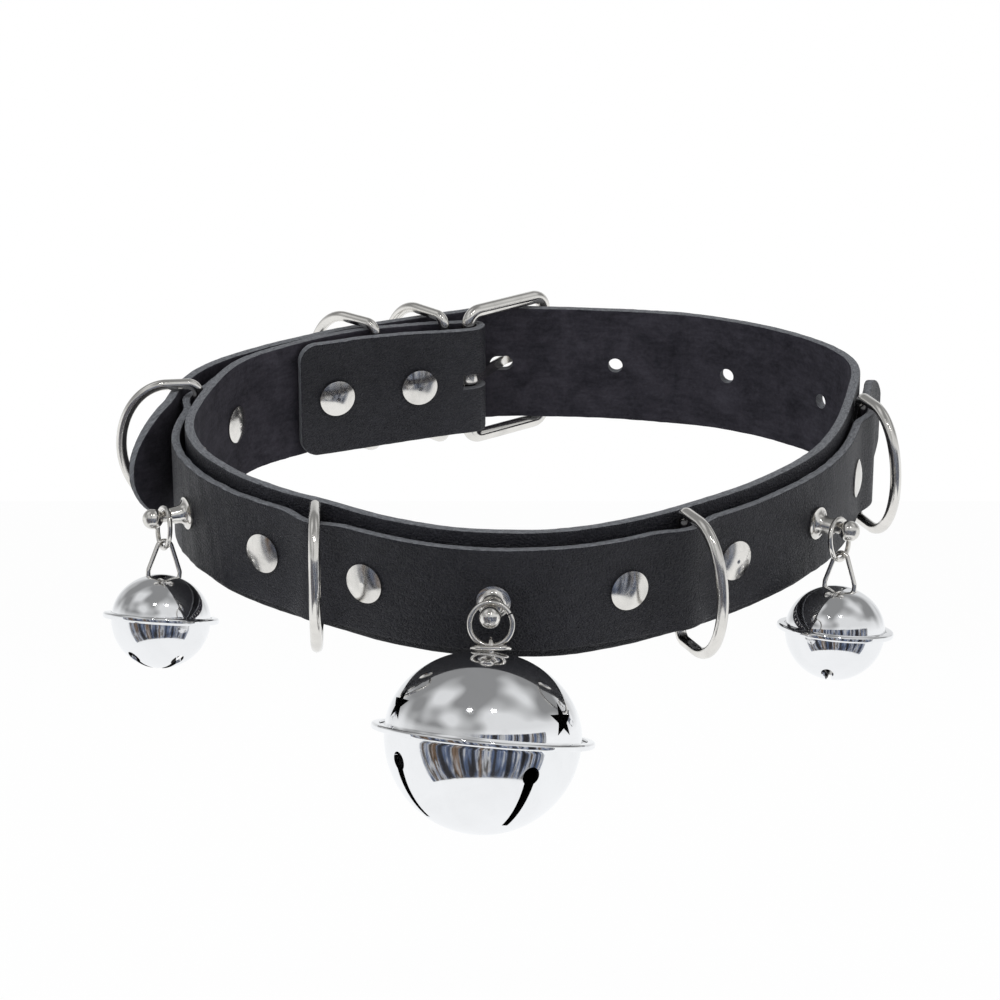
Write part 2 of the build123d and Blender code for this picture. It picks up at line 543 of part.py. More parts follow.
for side, arc in zip(SIDES, stud_arcs):
    size = BIG if side == "centre" else SMALL
    base = spin_plane(body_edge, arc, over_face(arc) + 0.02)
    neck = base.origin + base.y_dir * neck_mid
    ahead = Vector(base.y_dir.X, base.y_dir.Y, 0).normalized()
    sideways = up.cross(ahead)
    across_neck = (up - base.y_dir * up.dot(base.y_dir)).normalized()
    touch = neck + across_neck * (STUD_NECK + LINK_PLAY + LINK_WIRE)
    link_at = touch - up * LINK_R
    pivot = link_at - up * LINK_R
    # jump ring, with a fine split high on one side
    with BuildPart() as jump_ring:
        split_dir = (up * 0.5 + sideways * 0.866).normalized()
        with BuildSketch(Plane(link_at, x_dir=split_dir, z_dir=split_dir.cross(ahead))):
            with Locations((LINK_R, 0)):
                Circle(LINK_WIRE)
        revolve(axis=Axis(link_at, ahead), revolution_arc=356)
    jump_ring.part.label = f"jump_ring_{side}"
    export_step(jump_ring.part, f"parts/jump_ring_{side}.step")

    # the bell hangs with its crown plumb below the ring, a little out of true
    roll, pitch = TILT[side]
    lean_to = Vector(1, 0, 0) * math.tan(math.radians(roll))
    lean_to = lean_to + Vector(0, -1, 0) * math.tan(math.radians(pitch))
    axis_dir = (up + lean_to).normalized()
    centre = pivot - up * (size["drop"] - size["top"]) - axis_dir * size["top"]
    wide = ahead if side != "centre" else Vector(1, 0, 0)
    wide = (wide - axis_dir * wide.dot(axis_dir)).normalized()
    bell = Plane(centre, x_dir=wide, z_dir=axis_dir)
    crown = centre + axis_dir * size["top"]
    r, top, wall, flange = size["r"], size["top"], size["wall"], size["flange"]
    # a small shell's seam stays clear of the feet of its bail
    seam = wide if side == "centre" else wide * 0.4 + axis_dir.cross(wide) * 0.9
    profile = turned(centre, seam.normalized(), axis_dir)
    to_pivot = bell.to_local_coords(pivot)
    half_span = 1.6 if side == "centre" else 3.3
    if side == "centre":
        feet = [pivot + Vector(0, 1, 0) * half_span, pivot - Vector(0, 1, 0) * half_span]
        foot_dir = up
    else:
        feet = [crown + wide * half_span, crown - wide * half_span]
        foot_dir = axis_dir

    with BuildPart() as bell_top:
        with BuildSketch(profile):
            with BuildLine():
                Spline(*quarter_points(r, top), tangents=[(0, 1), (-1, 0)])
                Line((0, top), (0, top - wall))
                Spline(*quarter_points(r - wall, top - wall), tangents=[(0, 1), (-1, 0)])
                Line((r - wall, 0), (r, 0))
            make_face()
            with BuildLine():
                Polyline((r - wall / 2, 0), (flange - HEM - 0.08, 0), (flange - HEM - 0.08, HEM),
                         (r + 0.25, HEM), (r - wall / 2, HEM + 0.4), close=True)
            make_face()
        revolve(axis=Axis(centre, axis_dir))
        for foot in feet:
            with BuildSketch(Plane(foot - foot_dir * 8, z_dir=foot_dir)):
                Circle(BAIL_WIRE + 0.06)
            extrude(amount=12, mode=Mode.SUBTRACT)
        if side == "centre":
            for bearing in (-66, 54, 174):
                spot = math.radians(bearing - 90)
                way = bell.x_dir * math.cos(spot) + bell.y_dir * math.sin(spot)
                window = Plane(centre + axis_dir * STAR_AT + way * (r + 1),
                               x_dir=axis_dir.cross(way), z_dir=way)
                corners = []
                for i in range(10):
                    long = STAR_R if i % 2 == 0 else STAR_R * 0.42
                    turn = math.radians(90 + 36 * i)
                    corners.append((long * math.cos(turn), long * math.sin(turn)))
                with BuildSketch(window):
                    with BuildLine():
                        Polyline(*corners, close=True)
                    make_face()
                extrude(amount=-9, mode=Mode.SUBTRACT)
    bell_top.part.label = f"bell_top_{side}"
    export_step(bell_top.part, f"parts/bell_top_{side}.step")

    with BuildPart() as bell_bottom:
        with BuildSketch(profile):
            with BuildLine():
                CenterArc((0, 0), r, -90, 90)
                Line((r, 0), (r - wall, 0))
                CenterArc((0, 0), r - wall, -90, 90)
                Line((0, wall - r), (0, -r))
            make_face()
            # the flange's edge is hemmed over the upper shell's
            with BuildLine():
                Polyline((r - wall / 2, 0), (r - wall / 2, -HEM - 0.4), (r + 0.25, -HEM),
                         (flange - 0.2, -HEM), (flange, -HEM / 2), (flange, 2 * HEM - 0.1),
                         (flange - 0.2, 2 * HEM + 0.1), (flange - 1.5, 2 * HEM + 0.1),
                         (flange - 1.5, HEM + 0.1), (flange - HEM, HEM + 0.1),
                         (flange - HEM, 0), close=True)
            make_face()
        revolve(axis=Axis(centre, axis_dir))
        if side == "centre":
            for bearing in (-58, 32, 122, 212):
                spot = math.radians(bearing - 90)
                way = bell.x_dir * math.cos(spot) + bell.y_dir * math.sin(spot)
                with BuildSketch(Plane(centre + way * (r + 1), x_dir=axis_dir.cross(way),
                                       z_dir=way)):
                    with Locations((0, -KEYHOLE_AT)):
                        Circle(KEYHOLE_R)
                    with BuildLine():
                        Polyline((-0.95, -KEYHOLE_AT), (0.95, -KEYHOLE_AT),
                                 (0.45, -KEYHOLE_END), (-0.45, -KEYHOLE_END), close=True)
                    make_face()
                extrude(amount=-11.5, mode=Mode.SUBTRACT)
        else:
            for turn in (20, 110):
                with BuildSketch(Plane(centre - axis_dir * (r + 1), x_dir=wide,
                                       z_dir=axis_dir)):
                    SlotOverall(13.5, 1.2, rotation=turn)
                    with PolarLocations(6.1, 2, start_angle=turn):
                        Circle(1.25)
                extrude(amount=6, mode=Mode.SUBTRACT)
    bell_bottom.part.label = f"bell_bottom_{side}"
    export_step(bell_bottom.part, f"parts/bell_bottom_{side}.step")

    with BuildPart() as bell_bail:
        if side == "centre":
            arch = Plane(pivot, x_dir=(0, 1, 0), z_dir=(1, 0, 0))
            rise = LINK_WIRE + BAIL_WIRE + LINK_PLAY - half_span
            with BuildLine(arch) as bail_line:
                Line((-half_span, -3.4), (-half_span, rise))
                ThreePointArc((-half_span, rise), (0, rise + half_span), (half_span, rise))
                Line((half_span, rise), (half_span, -3.4))
        else:
            mid_dir = (pivot - crown - wide * (pivot - crown).dot(wide)).normalized()
            arch = Plane(crown, x_dir=wide, z_dir=wide.cross(mid_dir))
            tip = arch.to_local_coords(pivot)
            lift = LINK_WIRE + BAIL_WIRE + LINK_PLAY + 0.2
            bow = 1.55
            with BuildLine(arch) as bail_line:
                peak = tip.Y + lift + 1
                for i in range(8):
                    open_l = math.atan2(half_span + tip.X, peak - 0.6)
                    open_r = math.atan2(half_span - tip.X, peak - 0.6)
                    corner = bow * (1 / math.sin((open_l + open_r) / 2) - 1)
                    peak = tip.Y + lift + corner
                FilletPolyline((-half_span, -2.4), (-half_span, 0.6), (tip.X, peak),
                               (half_span, 0.6), (half_span, -2.4), radius=bow)
        wire = bail_line.wire()
        with BuildSketch(Plane(wire.position_at(0), z_dir=wire.tangent_at(0))):
            Circle(BAIL_WIRE)
        sweep(path=wire)
        if side == "centre":
            oval = Plane(pivot - up * 0.32, x_dir=(1, 0, 0), z_dir=up)
            with BuildLine(oval) as oval_line:
                Line((-1.4, 2.05), (1.4, 2.05))
                ThreePointArc((1.4, 2.05), (3.45, 0), (1.4, -2.05))
                Line((1.4, -2.05), (-1.4, -2.05))
                ThreePointArc((-1.4, -2.05), (-3.45, 0), (-1.4, 2.05))
            oval_wire = oval_line.wire()
            with BuildSketch(Plane(oval_wire.position_at(0), z_dir=oval_wire.tangent_at(0))):
                Circle(BAIL_WIRE)
            sweep(path=oval_wire)
    bell_bail.part.label = f"bell_bail_{side}"
    export_step(bell_bail.part, f"parts/bell_bail_{side}.step")

    rest = centre - up * (r - wall - size["pellet"] - 0.2)
    with BuildPart() as pellet:
        with BuildSketch(Plane(rest, x_dir=wide, z_dir=wide.cross(up))):
            with BuildLine():
                CenterArc((0, 0), size["pellet"], -90, 180)
                Line((0, size["pellet"]), (0, -size["pellet"]))
            make_face()
        revolve(axis=Axis(rest, Plane(rest, x_dir=wide, z_dir=wide.cross(up)).y_dir))
    pellet.part.label = f"pellet_{side}"
    export_step(pellet.part, f"parts/pellet_{side}.step")
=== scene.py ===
"""Belled leather collar: straps, fittings, bells and a plain studio round them."""

import json
import math

import bmesh
import bpy
import numpy as np
from bpy.props import FloatProperty, FloatVectorProperty, IntProperty, PointerProperty
from mathutils import Matrix, Vector, noise

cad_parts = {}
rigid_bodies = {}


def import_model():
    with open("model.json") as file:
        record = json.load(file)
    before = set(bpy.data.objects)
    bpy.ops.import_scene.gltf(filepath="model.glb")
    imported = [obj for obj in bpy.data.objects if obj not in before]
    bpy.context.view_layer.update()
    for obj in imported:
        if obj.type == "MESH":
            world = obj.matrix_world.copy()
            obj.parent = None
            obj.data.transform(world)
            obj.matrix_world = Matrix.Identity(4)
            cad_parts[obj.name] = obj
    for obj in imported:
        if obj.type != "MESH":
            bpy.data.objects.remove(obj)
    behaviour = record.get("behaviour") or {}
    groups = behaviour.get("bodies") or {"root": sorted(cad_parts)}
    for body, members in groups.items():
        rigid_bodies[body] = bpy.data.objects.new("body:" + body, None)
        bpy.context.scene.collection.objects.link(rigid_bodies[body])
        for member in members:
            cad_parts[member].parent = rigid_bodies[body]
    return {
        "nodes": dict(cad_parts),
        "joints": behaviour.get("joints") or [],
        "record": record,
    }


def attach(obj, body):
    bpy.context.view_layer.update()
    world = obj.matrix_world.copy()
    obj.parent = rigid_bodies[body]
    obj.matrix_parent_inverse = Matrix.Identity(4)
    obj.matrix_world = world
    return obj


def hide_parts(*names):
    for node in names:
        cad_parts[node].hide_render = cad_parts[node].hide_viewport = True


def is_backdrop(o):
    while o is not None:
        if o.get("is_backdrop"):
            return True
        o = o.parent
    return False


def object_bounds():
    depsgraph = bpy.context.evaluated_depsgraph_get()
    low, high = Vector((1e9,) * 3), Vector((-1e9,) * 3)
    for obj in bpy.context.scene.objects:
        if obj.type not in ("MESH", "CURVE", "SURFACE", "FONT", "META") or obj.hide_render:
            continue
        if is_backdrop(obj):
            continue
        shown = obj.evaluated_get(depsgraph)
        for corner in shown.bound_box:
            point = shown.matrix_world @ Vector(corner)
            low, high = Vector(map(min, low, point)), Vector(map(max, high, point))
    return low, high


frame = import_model()

bl_info = {
    "name": "Belled Collar",
    "version": (1, 0, 0),
    "blender": (4, 5, 0),
    "location": "View3D > Sidebar > Collar",
    "description": "Builds a riveted leather collar with rings, a buckle and three bells",
    "category": "Add Mesh",
}

MM = 0.001
LEAN = math.radians(21.5)  # forward lean of the whole collar

# sizes in millimetres
STRAP_WIDTH = 26.0
STRAP_THICK = 2.0
FOLD_WIDTH = 24.2
TAIL_WIDTH = 24.0
OVERLAY_WIDTH = 21.0
OVERLAY_THICK = 1.8
LAYER_GAP = 0.9
HUMP_HALF = 8.3
PITCH = 24.8  # spacing of rivets and studs
RING_PLACES = (-4.5, -1.5, 1.5, 4.5)  # rings along the front, in pitches
FRONT_X = -3.4
OVERLAY_HALF = 5.4  # half length of the overlay, in pitches
HOLE_PITCH = 26.0
HOLE_R = 1.65
PRONG_HOLE = 5.4
RING_WIRE = 1.15
RING_PLAY = 0.3
BAR = (-9.6, 47.6)
FOLD_R = 2.8
FOLD_ANGLE = math.radians(15.7)
PRONG_X = -2.3
SLOT_HALF = 1.7  # half width of the slot for the prong
SLOT_PAST = 2.2  # how far the slot goes past the fold
CUTTER_HALF = 3

# plan of the straps' middle lines, from the flap round to the tail's tip
FLAP = [(-46.4, 31.6), (-36.6, 35.6), (-23.6, 40.6)]
BACK_LEFT = [(-21.0, 47.6), (-31.2, 43.6), (-40.9, 38.4), (-49.2, 32.2)]
LEFT = [(-57.9, 23.0), (-63.0, 9.8), (-65.5, -3.0), (-66.2, -16.0), (-60.8, -33.0)]
FRONT = [(-51.0, -45.6), (-38.4, -55.2), (-24.5, -64.8), (-9.0, -70.6), (8.0, -71.0)]
RIGHT = [(26.0, -63.6), (42.0, -51.9), (54.8, -39.0), (63.4, -25.0), (68.4, -9.0)]
BACK_RIGHT = [(72.0, 8.0), (73.2, 21.6), (66.4, 35.2), (56.5, 43.8), (46.0, 49.6)]
BACK = [(33.0, 53.7), (19.3, 56.0), (7.0, 57.0), (-2.3, 57.0), (-11.0, 55.1)]
TAIL = [(-21.4, 51.9), (-32.0, 48.2), (-43.0, 42.2), (-53.4, 34.6), (-62.4, 26.0)]
TIP = [(-68.1, 17.0), (-71.0, 7.6), (-72.2, -0.4), (-74.6, -6.6), (-79.0, -11.4)]

# a bell's axis meets its plumb line the gap below the ring that it hangs on
SIDES = ("left", "centre", "right")
BIG = {"r": 18.75, "top": 16.0, "flange": 21.3, "wall": 0.7, "gap": 1.0}
SMALL = {"r": 10.0, "top": 9.0, "flange": 11.7, "wall": 0.55, "gap": 5.2}
HEM = 0.34  # thickness of a flange's metal
HEM_ROUND = 0.45
STAR_AT, STAR_R, STAR_WAIST = 5.0, 3.3, 0.42
STAR_BEARINGS = (-66, 54, 174)
KEY_AT, KEY_R, KEY_END = 5.4, 1.75, 15.6
KEY_WIDE, KEY_NARROW = 1.1, 0.6
KEY_BEARINGS = (-58, 32, 122, 212)
CROSS_HALF, CROSS_REACH = 0.6, 6.2
CROSS_EYE, CROSS_EYE_AT = 1.25, 6.1
CROSS_TURNS = (20, 110)

# the wall behind the camera, in metres: radius, foot, top and where it ends
WALL_R, WALL_LOW, WALL_TOP, WALL_END = 0.9, -0.85, 0.09, -0.3
WALL_TONES = (
    (0.30, (0.01, 0.01, 0.012, 1)), (0.43, (0.05, 0.05, 0.055, 1)),
    (0.48, (0.10, 0.14, 0.24, 1)), (0.52, (0.55, 0.56, 0.58, 1)),
    (0.56, (0.03, 0.03, 0.03, 1)), (0.62, (0.17, 0.11, 0.07, 1)),
    (0.68, (0.40, 0.40, 0.41, 1)),
)
WHITE = (1, 1, 1, 1)

# material slots of a strap
GRAIN, SUEDE, CUT = 0, 1, 2


# ---- centre lines --------------------------------------------------------------


class Line:
    """A smooth line through plan points, sampled finely and read by length."""

    def __init__(self, points, spacing=0.1):
        pts = np.array(points, float)
        knots = np.concatenate([[0], np.cumsum(np.hypot(*np.diff(pts, axis=0).T))])
        slopes = self.slopes(pts, knots)
        places, ways = [], []
        for i in range(len(pts) - 1):
            h = knots[i + 1] - knots[i]
            u = np.linspace(0, 1, max(2, int(h / spacing)), endpoint=i == len(pts) - 2)[:, None]
            a, b, m, n = pts[i], pts[i + 1], slopes[i] * h, slopes[i + 1] * h
            places.append((2 * u**3 - 3 * u**2 + 1) * a + (u**3 - 2 * u**2 + u) * m
                          + (3 * u**2 - 2 * u**3) * b + (u**3 - u**2) * n)
            ways.append((6 * u**2 - 6 * u) * (a - b) + (3 * u**2 - 4 * u + 1) * m
                        + (3 * u**2 - 2 * u) * n)
        self.xy = np.vstack(places)
        way = np.vstack(ways)
        self.way = way / np.linalg.norm(way, axis=1)[:, None]
        self.arc = np.concatenate([[0], np.cumsum(np.hypot(*np.diff(self.xy, axis=0).T))])

    @staticmethod
    def slopes(pts, knots):
        """Slopes that join the spans smoothly, with ends set by their nearest points."""
        n = len(pts)
        matrix, right = np.zeros((n, n)), np.zeros((n, 2))
        for row, near in ((0, range(min(4, n))), (n - 1, range(max(0, n - 4), n))):
            near = list(near)
            matrix[row, row] = 1
            powers = np.vander(knots[near] - knots[row], increasing=True)
            right[row] = np.linalg.solve(powers, pts[near])[1]
        for i in range(1, n - 1):
            a, b = knots[i] - knots[i - 1], knots[i + 1] - knots[i]
            matrix[i, i - 1:i + 2] = b, 2 * (a + b), a
            right[i] = 3 * (b * (pts[i] - pts[i - 1]) / a + a * (pts[i + 1] - pts[i]) / b)
        return np.linalg.solve(matrix, right)

    @property
    def length(self):
        """Length of the whole line."""
        return self.arc[-1]

    def at(self, arc):
        """Plan place and direction of travel at a length along the line."""
        arc = min(max(arc, 0.0), self.length)
        place = [np.interp(arc, self.arc, self.xy[:, k]) for k in (0, 1)]
        way = [np.interp(arc, self.arc, self.way[:, k]) for k in (0, 1)]
        return Vector(place), Vector(way).normalized()


class FoldedLine:
    """The flap, the fold round the buckle bar and the body, end to end."""

    def __init__(self):
        cos, sin = math.cos(FOLD_ANGLE), math.sin(FOLD_ANGLE)
        inner = (BAR[0] + FOLD_R * sin, BAR[1] - FOLD_R * cos)
        outer = (BAR[0] - FOLD_R * sin, BAR[1] + FOLD_R * cos)
        lead_in = (inner[0] - 2.5 * cos, inner[1] - 2.5 * sin)
        lead_out = (outer[0] - 2.5 * cos, outer[1] - 2.5 * sin)
        self.flap = Line(FLAP + [lead_in, inner])
        self.body = Line([outer, lead_out] + BACK_LEFT + LEFT + FRONT + RIGHT + BACK_RIGHT
                         + BACK + TAIL + TIP)
        self.fold_at = self.flap.length
        self.body_at = self.fold_at + math.pi * FOLD_R
        self.length = self.body_at + self.body.length

    def at(self, arc):
        """Plan place and direction of travel at a length from the flap's cut end."""
        if arc <= self.fold_at:
            return self.flap.at(arc)
        if arc >= self.body_at:
            return self.body.at(arc - self.body_at)
        turn = FOLD_ANGLE - math.pi / 2 + (arc - self.fold_at) / FOLD_R
        out = Vector((math.cos(turn), math.sin(turn)))
        return Vector(BAR) + out * FOLD_R, Vector((-out.y, out.x))


def to_world(x, y, z):
    """Lean a place in the level collar forward, and turn millimetres to metres."""
    return Vector((x, y * math.cos(LEAN) - z * math.sin(LEAN),
                   y * math.sin(LEAN) + z * math.cos(LEAN))) * MM


folded = FoldedLine()
body = folded.body


def arc_where(start, passed):
    """First length along the body, from a start, whose x passes a test."""
    arc = start
    while not passed(body.at(arc)[0].x):
        arc += 0.1
    return arc


front_arc = arc_where(150.0, lambda x: x >= FRONT_X)
prong_arc = arc_where(380.0, lambda x: x <= PRONG_X)


def hump(distance):
    """Rise of the overlay over a ring's bar, 0 to 1."""
    if abs(distance) >= HUMP_HALF:
        return 0.0
    return math.cos(math.pi * distance / HUMP_HALF / 2) ** 2


def gap_at(arc):
    """Gap between the two straps, wider over the rings' bars."""
    rise = 2 * (RING_WIRE + RING_PLAY) + 0.1 - LAYER_GAP
    total = LAYER_GAP + rise * sum(hump(arc - front_arc - p * PITCH) for p in RING_PLACES)
    # past its last rivet the overlay's end springs away
    return total + 0.055 * max(0.0, arc - front_arc - 5.1 * PITCH) ** 2


# ---- bmesh helpers ---------------------------------------------------------------


def finish_piece(bm, name, rides, replaced, materials, sharp=35.0):
    """Turn a bmesh in metres into a riding piece with smooth faces and crisp edges."""
    limit = math.radians(sharp)
    for face in bm.faces:
        face.smooth = True
    for edge in bm.edges:
        if len(edge.link_faces) == 2:
            edge.smooth = edge.calc_face_angle(0.0) < limit
    mesh = bpy.data.meshes.new(name)
    bm.to_mesh(mesh)
    bm.free()
    piece = bpy.data.objects.new(name, mesh)
    bpy.context.scene.collection.objects.link(piece)
    for material in materials:
        mesh.materials.append(material)
    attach(piece, rides)
    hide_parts(*replaced)


def body_of(node):
    """Name of the moving body that holds a CAD node."""
    groups = frame["record"]["behaviour"]["bodies"]
    return next(name for name, members in groups.items() if node in members)


def merged_copy(node):
    """A bmesh of a CAD node with its loose triangles joined."""
    bm = bmesh.new()
    bm.from_mesh(frame["nodes"][node].data)
    bmesh.ops.remove_doubles(bm, verts=bm.verts, dist=2e-6)
    bmesh.ops.dissolve_degenerate(bm, edges=bm.edges, dist=1e-6)
    return bm


def refit(node, name, material, sharp=35.0):
    """Stand a joined, smooth copy of a CAD node in its place."""
    finish_piece(merged_copy(node), name, body_of(node), [node], [material], sharp)


def carved(bm, cutters, cut_material=0):
    """The bmesh with each cutter's bmesh taken out of it."""
    linked = bpy.context.scene.collection.objects
    mesh = bpy.data.meshes.new("blank")
    bm.to_mesh(mesh)
    bm.free()
    blank = bpy.data.objects.new("blank", mesh)
    linked.link(blank)
    spare = []
    for cutter in cutters:
        for face in cutter.faces:
            face.material_index = cut_material
        bmesh.ops.recalc_face_normals(cutter, faces=cutter.faces)
        shape = bpy.data.meshes.new("cutter")
        cutter.to_mesh(shape)
        cutter.free()
        tool = bpy.data.objects.new("cutter", shape)
        linked.link(tool)
        modifier = blank.modifiers.new("cut", "BOOLEAN")
        modifier.operation = "DIFFERENCE"
        modifier.solver = "EXACT"
        modifier.object = tool
        spare.append(tool)
    graph = bpy.context.evaluated_depsgraph_get()
    result = bpy.data.meshes.new_from_object(blank.evaluated_get(graph))
    out = bmesh.new()
    out.from_mesh(result)
    for thing in spare + [blank]:
        bpy.data.objects.remove(thing)
    bpy.data.meshes.remove(result)
    return out


def rod(radius, low, high, segments=24):
    """A closed cylinder about Z from one height to another."""
    bm = bmesh.new()
    bmesh.ops.create_cone(bm, cap_ends=True, segments=segments, radius1=radius, radius2=radius,
                          depth=high - low, matrix=Matrix.Translation((0, 0, (low + high) / 2)))
    return bm


def prism(points, low, high):
    """A closed prism on a flat outline, from one height to another."""
    bm = bmesh.new()
    corners = [bm.verts.new((x, y, low)) for x, y in points]
    floor = bm.faces.new(corners)
    grown = bmesh.ops.extrude_face_region(bm, geom=[floor])["geom"]
    raised = [g for g in grown if isinstance(g, bmesh.types.BMVert)]
    bmesh.ops.translate(bm, verts=raised, vec=(0, 0, high - low))
    return bm


# ---- leather straps --------------------------------------------------------------


def strip(length, columns, rows, half_width, place_columns):
    """A flat strip in millimetres: x along it, y across it, z its thickness."""
    bm = bmesh.new()
    bmesh.ops.create_grid(bm, x_segments=columns, y_segments=rows, size=0.5)
    for vert in bm.verts:
        x = place_columns(vert.co.x + 0.5)
        # rows bunch a little towards both cut edges
        across = math.sin(vert.co.y * math.pi * 0.94) / math.sin(0.47 * math.pi)
        vert.co = (x, across * half_width(x), 0)
    bmesh.ops.remove_doubles(bm, verts=bm.verts, dist=1e-4)
    return bm


def thicken(bm, thick, soften):
    """Give a flat strip its thickness, and soften the corners of its cut edge."""
    bmesh.ops.recalc_face_normals(bm, faces=bm.faces)
    if bm.faces[:][0].normal.z < 0:
        bmesh.ops.reverse_faces(bm, faces=bm.faces)
    bmesh.ops.solidify(bm, geom=bm.faces[:], thickness=thick)
    middle = (max(v.co.z for v in bm.verts) + min(v.co.z for v in bm.verts)) / 2
    bmesh.ops.translate(bm, verts=bm.verts, vec=(0, 0, -middle))
    bmesh.ops.recalc_face_normals(bm, faces=bm.faces)
    corners = [e for e in bm.edges if len(e.link_faces) == 2
               and e.calc_face_angle(0.0) > math.radians(60)
               and max(abs(f.normal.z) for f in e.link_faces) > 0.9]
    bmesh.ops.bevel(bm, geom=corners, offset=soften, offset_type="OFFSET", segments=2,
                    profile=0.5, affect="EDGES", material=-1)
    for face in bm.faces:
        if face.normal.z > 0.9:
            face.material_index = GRAIN
        elif face.normal.z < -0.9:
            face.material_index = SUEDE
        else:
            face.material_index = CUT


def bend(bm, at, offset, wobble, creases):
    """Wrap a flat strip along a line, and leave its flat place in a UV map."""
    layer = bm.loops.layers.uv.new("flat")
    for face in bm.faces:
        for loop in face.loops:
            co = loop.vert.co
            side = 0.004 if face.material_index == CUT else 0.0
            loop[layer].uv = (co.x * MM, (co.y + co.z) * MM + side)
    for vert in bm.verts:
        arc, height, depth = vert.co
        place, way = at(arc)
        out = Vector((way.y, -way.x))
        # long waves and short ones, creases, and cut edges that stray a little
        wave = noise.noise(Vector((arc * 0.035, height * 0.02, 3.7))) * wobble
        wave += noise.noise(Vector((arc * 0.11, height * 0.08, 9.1))) * wobble * 0.3
        for centre, reach, dip in creases:
            near = math.exp(-((arc - centre) / reach) ** 2)
            spot = Vector((arc * 0.55 + height * 0.12, height * 0.05, 1.3))
            wave += near * dip * noise.noise(spot)
        edge = noise.noise(Vector((arc * 0.09, math.copysign(7.0, height), 5.5))) * 0.16
        edge += noise.noise(Vector((arc * 0.7, math.copysign(7.0, height), depth * 0.4))) * 0.07
        flat = place + out * (offset(arc) + depth + wave)
        vert.co = to_world(flat.x, flat.y, height + edge * abs(height) / (STRAP_WIDTH / 2))


def end_columns(length, start, finish, share):
    """Spread columns evenly, but draw them together over rounded ends."""
    def place(u):
        if u < share:
            return start * (1 - math.cos(u / share * math.pi / 2))
        if u > 1 - share:
            return length - finish * (1 - math.cos((1 - u) / share * math.pi / 2))
        return start + (length - start - finish) * (u - share) / (1 - 2 * share)
    return place


def main_half(arc):
    """Half width of the main strap at a length from the flap's cut end."""
    half = STRAP_WIDTH / 2
    fold = (folded.fold_at + folded.body_at) / 2
    narrow = max(0.0, 1 - max(0.0, abs(arc - fold) - 6.4) / 24.0)
    half -= narrow * (STRAP_WIDTH - FOLD_WIDTH) / 2
    tail = (arc - folded.body_at - prong_arc - 8.0) / 22.0
    half -= min(max(tail, 0.0), 1.0) * (STRAP_WIDTH - TAIL_WIDTH) / 2
    if arc < 4.0:
        half -= 4.0 - math.sqrt(max(0.0, 16.0 - (4.0 - arc) ** 2))
    rest = folded.length - arc
    if rest < TAIL_WIDTH / 2:
        half = math.sqrt(max(0.0, (TAIL_WIDTH / 2) ** 2 - (TAIL_WIDTH / 2 - rest) ** 2))
    return half


def overlay_half(arc):
    """Half width of the overlay at a length from its end."""
    length = 2 * OVERLAY_HALF * PITCH
    rest = min(arc, length - arc)
    half = OVERLAY_WIDTH / 2
    if rest < 6.0:
        half -= 6.0 - math.sqrt(max(0.0, 36.0 - (6.0 - rest) ** 2))
    return half


# ---- shader building ---------------------------------------------------------------


class Amount:
    """A number that changes over a surface; arithmetic on it adds Math nodes."""

    def __init__(self, recipe, socket):
        self.recipe = recipe
        self.socket = socket

    def _with(self, operation, first, second):
        node = self.recipe.node("ShaderNodeMath", {"operation": operation}, {0: first, 1: second})
        return Amount(self.recipe, node.outputs[0])

    def __add__(self, other):
        return self._with("ADD", self, other)

    def __radd__(self, other):
        return self._with("ADD", other, self)

    def __sub__(self, other):
        return self._with("SUBTRACT", self, other)

    def __rsub__(self, other):
        return self._with("SUBTRACT", other, self)

    def __mul__(self, other):
        return self._with("MULTIPLY", self, other)

    def __rmul__(self, other):
        return self._with("MULTIPLY", other, self)


